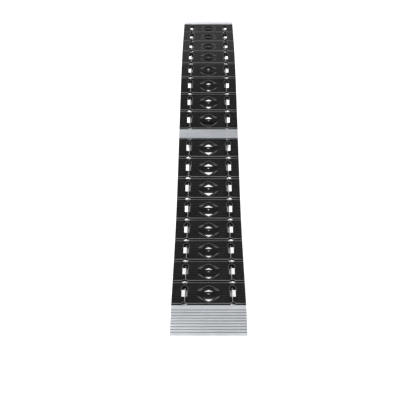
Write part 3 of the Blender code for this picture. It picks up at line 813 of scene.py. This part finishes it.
def tread_section(relieved_ends):
    """A tread's side view: lips at both ends, ribs between them, and a step over a plate's flange."""
    end = TREAD_LENGTH / 2
    ends = {}
    for direction in (-1, 1):
        if direction in relieved_ends:
            step = -TREAD_DEPTH + RELIEF_DEPTH
            inner = direction * (end - RELIEF_LENGTH)
            start = [(inner, -TREAD_DEPTH), (inner, step), (direction * end, step)]
        else:
            start = [(direction * end, -TREAD_DEPTH)]
        ends[direction] = start + lip_outline(direction)
    ribs = []
    shoulder = RIB_HEIGHT * 0.9
    for number in range(RIB_COUNT):
        middle = (number - (RIB_COUNT - 1) / 2) * RIB_PITCH
        ribs += [(middle - RIB_BASE / 2, 0), (middle - RIB_TOP / 2, shoulder), (middle, RIB_HEIGHT)]
        ribs += [(middle + RIB_TOP / 2, shoulder), (middle + RIB_BASE / 2, 0)]
    return ends[-1] + ribs + ends[1][::-1]


def ridge_path(chord_y, apex_y):
    """A thin ridge a little outside a window's gable."""
    points = []
    for step in range(-RIDGE_STEPS, RIDGE_STEPS + 1):
        part = step / RIDGE_STEPS
        rise = 1 - abs(part) ** RIDGE_POWER
        points.append((RIDGE_REACH * part, chord_y + (apex_y - chord_y) * rise, RIDGE_RISE))
    return points


def ridge_field():
    """The field inside the two ridges, which has no ribs."""
    far, near = ([(x, y) for x, y, _ in ridge_path(*ridge)] for ridge in (FAR_RIDGE, NEAR_RIDGE))
    return far + near[::-1]


def wing_outlines():
    """Low pads between the ridges' outer ends and the windows."""
    return [mirrored(side, wing) for side in SIDES.values() for wing in (FAR_WING, NEAR_WING)]


def rim_paths():
    """Raised rims round the notches and round the far ends of the side holes."""
    radius = HOLE_WIDTH / 2 + RIM_RADIUS * 0.8
    low = LIP_HEIGHT - RIM_RADIUS - 0.0002
    paths = []
    for side in SIDES.values():
        hole = [(AXIS_X + radius, RIM_START), *arc((AXIS_X, RECESS_ARC_Y), radius, 0, 180, 20)]
        hole.append((AXIS_X - radius, RIM_START))
        paths.append([(side * x, y, low - 0.0004) for x, y in hole])
        for end in (-1, 1):
            ring = arc((AXIS_X, end * TREAD_PITCH / 2), radius, -end * 8, -end * 172, 20)
            paths.append([(side * x, y, low) for x, y in ring])
    return paths


def pocket_corners():
    """Pockets between the ribs under a tread, clear of its openings, rails and bar."""
    below = -TREAD_DEPTH - 0.004
    corners = []
    for (x_low, x_high), rows in POCKETS.items():
        for y_low, y_high in rows:
            for side in SIDES.values():
                low, high = sorted((side * x_low, side * x_high))
                corners.append(((low, y_low, below), (high, y_high, -SKIN)))
    return corners


def centre_turned(profile):
    """A turned shape about the middle screw's axis."""
    mesh = turned(profile, 32)
    mesh.transform(Matrix.Translation((0, CENTRE_SCREW_Y, 0)))
    return mesh


def tread_mesh(relieved_ends):
    """A moulded tread, relieved below at an end that covers a plate's flange."""
    below = -COLLAR_DEPTH - 0.004
    above = LIP_HEIGHT + 0.004
    windows = [(BAR_FAR, FAR_WINDOW_HEIGHT, 1), (BAR_NEAR, NEAR_WINDOW_HEIGHT, -1)]
    through = [window_outline(*window) for window in windows]
    open_windows = windows[:1] if -1 in relieved_ends else windows
    collars = [window_outline(*window, COLLAR_WALL) for window in open_windows]
    left = AXIS_X - STRIP_REACH
    right = AXIS_X + STRIP_REACH
    strip = [(left, -STRIP_END), (right, -STRIP_END), (right, STRIP_END), (left, STRIP_END)]
    sunk = []
    flats = [ridge_field()]
    for side in SIDES.values():
        through.append(mirrored(side, hole_outline()))
        through.append(mirrored(side, far_slot_outline()))
        sunk.append(mirrored(side, recess_outline()))
        flats.append(mirrored(side, strip))
        through.append(mirrored(side, notch_outline(-1, 110, 11, HOLE_WIDTH / 2)))
        for end in (-1, 1):
            sunk.append(mirrored(side, notch_outline(end, 180, 19, HOLE_WIDTH / 2 + RECESS_MARGIN)))
    ridges = [ridge_path(*ridge) for ridge in (FAR_RIDGE, NEAR_RIDGE)]
    boss = [(0, BOSS_HEIGHT), (BOSS_TOP_RADIUS, BOSS_HEIGHT), (BOSS_RADIUS, 0)]
    boss += [(BOSS_RADIUS, -BOSS_DEPTH), (0, -BOSS_DEPTH)]
    countersink = [(0, above), (COUNTERSINK_RADIUS, above)]
    countersink += [(COUNTERSINK_RADIUS, -COUNTERSINK_DEPTH), (0, -COUNTERSINK_DEPTH)]
    section = side_prism([tread_section(relieved_ends)], -WIDTH / 2, WIDTH / 2)
    steps = [
        ("flats", prism(flats, 0, above), "DIFFERENCE"),
        ("rims", tube(rim_paths(), RIM_RADIUS), "UNION"),
        ("ridges", tube(ridges, RIDGE_RADIUS), "UNION"),
        ("wings", prism(wing_outlines(), -SKIN / 2, WING_HEIGHT), "UNION"),
        ("boss", centre_turned(boss), "UNION"),
        ("collars", prism(collars, -COLLAR_DEPTH, -SKIN), "UNION"),
        ("through", prism(through, below, above), "DIFFERENCE"),
        ("sunk", prism(sunk, -RECESS_DEPTH, above), "DIFFERENCE"),
        ("pockets", boxes(pocket_corners()), "DIFFERENCE"),
        ("countersink", centre_turned(countersink), "DIFFERENCE"),
    ]
    return combine(section, steps)


def build_treads():
    plain = tread_mesh(())
    near_plate = tread_mesh((-1,))
    far_plate = tread_mesh((1,))
    for label, half in HALVES.items():
        for number in range(1, TREADS_PER_HALF + 1):
            mesh = plain
            if number in (1, TREADS_PER_HALF):
                mesh = near_plate if (number == 1) == (half > 0) else far_plate
            node = f"{label}_tread_{number}"
            place = facet_frame(half, number)
            add_piece(f"{node}_moulding", mesh, place, "tread_plastic", label, (node,))


# Rails, rungs and welds


def rail_rings(half, outline):
    """An outline of (x, depth) points at each of a half's stations, in the profile frame."""
    rings = []
    for index in range(LAST + 1):
        ring = []
        for x, depth in outline:
            point = below_station(half, index, depth)
            if index == 0:
                point += along(MIDDLE_SLOPE, half * HALF_GAP, 0)
            ring.append((x, point.x, point.y))
        rings.append(ring)
    return rings


def build_rails():
    """Bent rectangular tubes with rounded corners and open ends."""
    reach = RAIL_WIDTH / 2
    wall = RAIL_WALL
    for label, half in HALVES.items():
        for side_label, side in SIDES.items():
            left = side * RAIL_X - reach
            right = side * RAIL_X + reach
            low, high = (left + wall, RAIL_TOP + wall), (right - wall, RAIL_BOTTOM - wall)
            outer = rounded_rectangle((left, RAIL_TOP), (right, RAIL_BOTTOM), 0.003)
            inner = rounded_rectangle(low, high, 0.0012)
            mesh = hollow_loft(rail_rings(half, outer), rail_rings(half, inner))
            node = f"{label}_{side_label}_rail"
            add_piece(f"{node}_tube", mesh, PROFILE_FRAME, "rail_steel", label, (node,))


def rung_beads():
    """Beads round the sides and bottom of a rung's ends, where they meet the rails."""
    reach = RUNG_SIZE / 2 + 0.0002
    corners = rounded_rectangle((-reach, -reach), (reach, reach), BEAD_CORNER, 5)
    spots = [(y + RUNG_Y, z - RAIL_TOP - RUNG_SIZE / 2) for y, z in corners if z < reach - 0.0015]
    ends = [side * (RAIL_X - RAIL_WIDTH / 2 - 0.0012) for side in SIDES.values()]
    return tube([[(x, *spot) for spot in spots] for x in ends], RUNG_BEAD_RADIUS, 2)


def rung_mesh(middle_y):
    """A square tube with rounded corners and open ends, in a tread's frame."""
    length = RAIL_X - RAIL_WIDTH / 2 - CLEARANCE
    middle = -RAIL_TOP - RUNG_SIZE / 2
    shells = []
    for reach, radius in ((RUNG_SIZE / 2, 0.002), (RUNG_SIZE / 2 - RUNG_WALL, 0.0006)):
        low, high = (middle_y - reach, middle - reach), (middle_y + reach, middle + reach)
        outline = rounded_rectangle(low, high, radius)
        shells.append([[(x, y, z) for y, z in outline] for x in (-length, length)])
    return hollow_loft(*shells)


def build_rungs():
    """A rung under each tread, one more beside the hinge, and the weld beads at their ends."""
    mesh = rung_mesh(RUNG_Y)
    beads = rung_beads()
    for label, half in HALVES.items():
        places = [facet_frame(half, number) for number in range(1, TREADS_PER_HALF + 1)]
        for number, place in enumerate(places, 1):
            node = f"{label}_rung_{number}"
            add_piece(f"{node}_tube", mesh, place, "rung_black", label, (node,))
        if label == "upper":
            node = "upper_hinge_rung"
            hinge_rung = rung_mesh(HINGE_RUNG_Y)
            add_piece(f"{node}_tube", hinge_rung, places[0], "rung_black", label, (node,))
            places.append(places[0] @ Matrix.Translation((0, HINGE_RUNG_Y - RUNG_Y, 0)))
        welds = copies(beads, places)
        weld = materials["weld"]
        add_piece(f"{label}_rung_welds", welds, IDENTITY, "rung_black", label, material=weld)


# Plates and rubber


def grooved(start, end, first, pitch, count, width, depth):
    """A plate's top edge as (u, n) points, with grooves across the way that it runs."""
    points = [(start, 0)]
    for number in range(count):
        middle = first + number * pitch
        points += [(middle - width / 2, 0), (middle - width / 3, -depth)]
        points += [(middle + width / 3, -depth), (middle + width / 2, 0)]
    return points + [(end, 0)]


def centre_section(half):
    """Half of the middle band: a hollow bar with a flange under the first tread."""
    end = CENTRE_PLATE_LENGTH - PLATE_GAP
    top = grooved(HALF_GAP / 2, end, first=0.0045, pitch=0.005, count=5, width=0.0024, depth=0.0010)
    outer = [*top, (end, FLANGE_TOP), (end + FLANGE_LENGTH, FLANGE_TOP)]
    outer += [(end + FLANGE_LENGTH, FLANGE_BOTTOM), (HALF_GAP / 2, FLANGE_BOTTOM)]
    start = HALF_GAP / 2 + LEG_THICKNESS
    end -= LEG_THICKNESS
    inner = [(start, -DECK_THICKNESS), (end, -DECK_THICKNESS), (end, FLANGE_TOP), (start, FLANGE_TOP)]
    return [[(half * u, n) for u, n in loop] for loop in (outer, inner)]


def end_section(half, deck_slope, deck_outline):
    """An end plate: a deck at its own slope, a leg, and a flange under the last tread."""
    leg = PLATE_GAP + LEG_THICKNESS
    tip = PLATE_GAP - FLANGE_LENGTH
    tread_side = [(leg, FLANGE_BOTTOM), (tip, FLANGE_BOTTOM), (tip, FLANGE_TOP), (PLATE_GAP, FLANGE_TOP)]
    points = [along(deck_slope, half * u, n) for u, n in deck_outline]
    points += [along(END_SLOPE, half * u, n) for u, n in tread_side]
    return [[half * STATIONS[LAST] + point for point in points]]


def build_plates():
    reach = WIDTH / 2
    for label, half in HALVES.items():
        node = f"{label}_centre_plate"
        mesh = side_prism(centre_section(half), -reach, reach)
        add_piece(f"{node}_bar", mesh, MIDDLE_FRAME, "plate_aluminium", label, (node,), 0.0003)
    end = GROUND_PLATE_LENGTH
    heel = -(NOSE.y + HEAVY_DECK * math.cos(GROUND_PLATE_SLOPE)) / math.sin(GROUND_PLATE_SLOPE)
    ground_outline = [
        *grooved(PLATE_GAP, end, first=0.0235, pitch=0.0127, count=9, width=0.0048, depth=0.0020),
        (end, -NOSE_THICKNESS),
        (heel, -HEAVY_DECK),
        (PLATE_GAP + LEG_THICKNESS, -HEAVY_DECK),
    ]
    end = LIP_PLATE_LENGTH
    top_outline = [
        *grooved(PLATE_GAP, end, first=0.010, pitch=0.007, count=6, width=0.0024, depth=0.0008),
        (end, -HEAVY_DECK + LIP_CHAMFER),
        (end - LIP_CHAMFER, -HEAVY_DECK),
        (PLATE_GAP + LEG_THICKNESS, -HEAVY_DECK),
    ]
    for node, label, slope, outline in (
        ("ground_plate", "lower", GROUND_PLATE_SLOPE, ground_outline),
        ("lip_plate", "upper", 0, top_outline),
    ):
        half = HALVES[label]
        start = half * STATIONS[LAST]
        deck = Matrix.Translation((0, start.x, start.y)) @ Matrix.Rotation(slope, 4, "X")
        mesh = side_prism(end_section(half, slope, outline), -reach, reach)
        mesh.transform(deck.inverted())
        place = PROFILE_FRAME @ deck
        add_piece(f"{node}_extrusion", mesh, place, "plate_aluminium", label, (node,), 0.0003)


def build_lip_pad():
    """The strip under the lip, with grooves across its lower face."""
    low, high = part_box("lip_pad")
    points = [(high.y, high.z), (low.y, high.z), (low.y, low.z)]
    pitch = (high.y - low.y) / PAD_STRIPS
    for number in range(1, PAD_STRIPS):
        middle = low.y + number * pitch
        points += [(middle - 0.001, low.z), (middle - 0.0004, low.z + 0.0009)]
        points += [(middle + 0.0004, low.z + 0.0009), (middle + 0.001, low.z)]
    points.append((high.y, low.z))
    pad = side_prism([points], low.x, high.x)
    add_piece("lip_pad_strip", pad, IDENTITY, "foot_rubber", "upper", ("lip_pad",), 0.0003)


def build_feet():
    """Wedges under the rails' ground ends, with grooves across their soles."""
    under = -RAIL_BOTTOM - CLEARANCE
    rear = along(END_SLOPE, 0, under) - STATIONS[LAST]
    front = along(END_SLOPE, FOOT_LENGTH, under) - STATIONS[LAST]
    floor = NOSE.y - STATIONS[LAST].y
    sole = []
    for number in range(SOLE_GROOVES):
        middle = front.x + (rear.x - front.x) * (number + 0.5) / SOLE_GROOVES
        sole += [(middle + 0.0012, floor), (middle + 0.0006, floor + 0.001)]
        sole += [(middle - 0.0006, floor + 0.001), (middle - 0.0012, floor)]
    wedge = [tuple(rear), tuple(front), (front.x, floor), *sole, (rear.x, floor)]
    for side_label, side in SIDES.items():
        middle = side * RAIL_X
        foot = side_prism([wedge], middle - RAIL_WIDTH / 2, middle + RAIL_WIDTH / 2)
        node = f"{side_label}_ground_foot"
        add_piece(f"{node}_wedge", foot, PROFILE_FRAME, "foot_rubber", "lower", (node,), 0.0004)


# Hinge


def ear_outline():
    """A bracket's ear: a plate beside the rail with a round end about the pin."""
    top = -RAIL_BOTTOM + BRACKET_LAP
    back = -RAIL_BOTTOM - 2 * CLEARANCE - BRACKET_BASE
    rim = arc((0, -HINGE_DEPTH), EAR_RADIUS, 60, -120, 30)
    return [(-BRACKET_REACH, top), (-0.006, top), *rim, (-BRACKET_FRONT, back), (-BRACKET_REACH, back)]


def knuckle_outline():
    """A knuckle: a block under the rail with a round end about the pin."""
    seat = -RAIL_BOTTOM - CLEARANCE
    rim = arc((0, -HINGE_DEPTH), KNUCKLE_RADIUS, -60, -280, 40)
    return [(0.0015, seat), (KNUCKLE_REACH, seat), (KNUCKLE_REACH, seat - 0.003), *rim]


def bracket_mesh(side, bore):
    """Two ears on a base plate under the rail."""
    reach = EAR_THICKNESS / 2
    x_low, x_high = sorted((side * EAR_INNER_X, side * EAR_OUTER_X))
    top = -RAIL_BOTTOM - CLEARANCE
    low = (x_low, -BRACKET_REACH + 0.0005, top - BRACKET_BASE)
    base = boxes([(low, (x_high, -BRACKET_FRONT, top))])
    ears = []
    for middle in (side * EAR_OUTER_X, side * EAR_INNER_X):
        ear = side_prism([ear_outline(), bore], middle - reach, middle + reach)
        ears.append(("ear", ear, "UNION"))
    return combine(base, ears)


def hinge_welds(side):
    """Beads along a bracket's upper edges and a knuckle's sides, where they meet the rails."""
    reach = RAIL_WIDTH / 2
    top = -RAIL_BOTTOM + BRACKET_LAP
    under = -RAIL_BOTTOM - 0.0012
    lower = []
    upper = []
    for out in (-1, 1):
        x = side * RAIL_X + out * (reach + 0.0012)
        lower.append([(x, -0.056 + 0.001 * step, top + 0.0006) for step in range(45)])
        x = side * RAIL_X + out * (reach - 0.0012)
        upper.append([(x, 0.014 + 0.0009 * step, under) for step in range(34)])
    return tube(lower, BRACKET_BEAD_RADIUS, 2), tube(upper, KNUCKLE_BEAD_RADIUS, 2)


def nut_mesh(low, high):
    """A hexagon nut with turned corners and a clear bore."""
    radius = NUT_ACROSS_FLATS / math.sqrt(3)
    body = prism([arc((0, 0), radius, 0, 300, 5)], low, high)
    edge = NUT_ACROSS_FLATS / 2 - 0.0002
    rim = radius + 0.0002
    drop = (radius - edge) * 0.6
    shape = [(0, high), (edge, high), (rim, high - drop), (rim, low + drop), (edge, low), (0, low)]
    above = high + 0.001
    below = low - 0.001
    bore = [(0, above), (PIN_BORE_RADIUS, above), (PIN_BORE_RADIUS, below), (0, below)]
    steps = [("corners", turned(shape, 48), "INTERSECT"), ("bore", turned(bore, 32), "DIFFERENCE")]
    return combine(body, steps)


def pin_mesh(low, high):
    """A pin with a chamfered round head and thread grooves where the nut sits."""
    head = PIN_HEAD_RADIUS
    profile = [(0, high + PIN_HEAD_HEIGHT), (head - 0.0012, high + PIN_HEAD_HEIGHT)]
    profile += [(head, high + PIN_HEAD_HEIGHT - 0.0012), (head, high), (PIN_RADIUS, high)]
    thread_top = low + NUT_HEIGHT + 0.004
    turns = int((thread_top - low - THREAD_PITCH) / THREAD_PITCH)
    for turn in range(turns):
        ridge = thread_top - turn * THREAD_PITCH
        profile += [(PIN_RADIUS, ridge), (PIN_RADIUS - THREAD_DEPTH, ridge - THREAD_PITCH / 2)]
    profile += [(PIN_RADIUS, low + 0.001), (PIN_RADIUS - 0.001, low), (0, low)]
    return turned(profile, 32)


def build_hinge():
    """On each side a bracket on the lower rail, a knuckle on the upper one, a pin and a nut."""
    bore = arc((0, -HINGE_DEPTH), PIN_BORE_RADIUS, 0, 348.75, 31)
    ear_outside = EAR_OUTER_X + EAR_THICKNESS / 2 + CLEARANCE
    ear_inside = EAR_INNER_X - EAR_THICKNESS / 2 - CLEARANCE
    pin_end = ear_inside - NUT_HEIGHT - 0.0025
    knuckle_reach = RAIL_WIDTH / 2 - CLEARANCE
    for label, side in SIDES.items():
        middle = side * RAIL_X
        outward = Matrix.Rotation(side * math.pi / 2, 4, "Y")
        knuckle = side_prism([knuckle_outline(), bore], middle - knuckle_reach, middle + knuckle_reach)
        pin = pin_mesh(pin_end, ear_outside)
        nut = nut_mesh(ear_inside - NUT_HEIGHT, ear_inside)
        for mesh in (pin, nut):
            mesh.transform(outward)
        below, above = hinge_welds(side)
        rows = [
            ("bracket", bracket_mesh(side, bore), MIDDLE_FRAME, "hinge_steel", "lower", 0.0005),
            ("knuckle", knuckle, MIDDLE_FRAME, "hinge_steel", "upper", 0.0004),
            ("pin", pin, PIVOT_FRAME, "fastener_steel", "lower", 0.0),
            ("nut", nut, PIVOT_FRAME, "fastener_steel", "lower", 0.0),
        ]
        for part, mesh, place, slot, half, bevel in rows:
            node = f"{label}_hinge_{part}"
            add_piece(f"{node}_detail", mesh, place, slot, half, (node,), bevel)
        weld = materials["weld"]
        add_piece(f"{label}_bracket_welds", below, MIDDLE_FRAME, "hinge_steel", "lower", material=weld)
        add_piece(f"{label}_knuckle_welds", above, MIDDLE_FRAME, "hinge_steel", "upper", material=weld)


# Screws


def screw_mesh():
    """A pan-head screw with a cross recess. Its origin is where its head sits."""
    dome = []
    for step in range(9):
        angle = math.radians(90 - 80 * step / 8)
        height = SCREW_HEAD_HEIGHT * (0.45 + 0.55 * math.sin(angle))
        dome.append((SCREW_HEAD_RADIUS * math.cos(angle), height))
    dome[0] = (0, SCREW_HEAD_HEIGHT)
    rim = [(SCREW_HEAD_RADIUS, 0.0004), (SCREW_HEAD_RADIUS - 0.0004, 0)]
    shank = [(SCREW_RADIUS, 0), (SCREW_RADIUS, -SCREW_LENGTH + 0.001), (SCREW_RADIUS / 2, -SCREW_LENGTH)]
    head = turned([*dome, *rim, *shank, (0, -SCREW_LENGTH)], 24)
    low = SCREW_HEAD_HEIGHT * 0.45
    high = SCREW_HEAD_HEIGHT + 0.001
    steps = []
    for x, y in ((0.0026, 0.00055), (0.00055, 0.0026)):
        steps.append(("cross", boxes([((-x, -y, low), (x, y, high))]), "DIFFERENCE"))
    return combine(head, steps)


def build_screws():
    """Screws in pairs at the joints, and a smaller one in the middle of each tread."""
    screw = screw_mesh()
    tab = Matrix.Translation((0, 0, -RECESS_DEPTH + CLEARANCE))
    bar = Matrix.Translation((0, CENTRE_SCREW_Y, -COUNTERSINK_DEPTH + CLEARANCE))
    bar = bar @ Matrix.Scale(BAR_SCREW_SCALE, 4)
    for label, half in HALVES.items():
        frames = []
        for index, place in enumerate(screw_frames(half)):
            frames.append(place @ tab @ Matrix.Rotation(index * 1.9, 4, "Z"))
        for number in range(1, TREADS_PER_HALF + 1):
            frames.append(facet_frame(half, number) @ bar @ Matrix.Rotation(number * 0.7, 4, "Z"))
        mesh = copies(screw, frames)
        add_piece(f"{label}_screws", mesh, IDENTITY, "fastener_steel", label)


make_camera()
make_studio()
materials = {
    "tread_plastic": tread_plastic(),
    "plate_aluminium": plate_aluminium(),
    "rail_steel": zinc_steel("rail_steel", (0.40, 0.41, 0.42), 0.34, 0.52),
    "rung_black": powder_black(),
    "hinge_steel": zinc_steel("hinge_steel", (0.42, 0.42, 0.42), 0.3, 0.5),
    "fastener_steel": zinc_steel("fastener_steel", (0.66, 0.66, 0.66), 0.22, 0.4),
    "foot_rubber": foot_rubber(),
    "plug_plastic": plug_plastic(),
    "weld": weld_steel(),
}
build_treads()
build_rails()
build_rungs()
build_plates()
build_lip_pad()
build_feet()
build_hinge()
build_screws()
for node in ("left_rail_plug", "right_rail_plug"):
    plug = frame["nodes"][node]
    plug.data.materials.clear()
    plug.data.materials.append(materials["plug_plastic"])
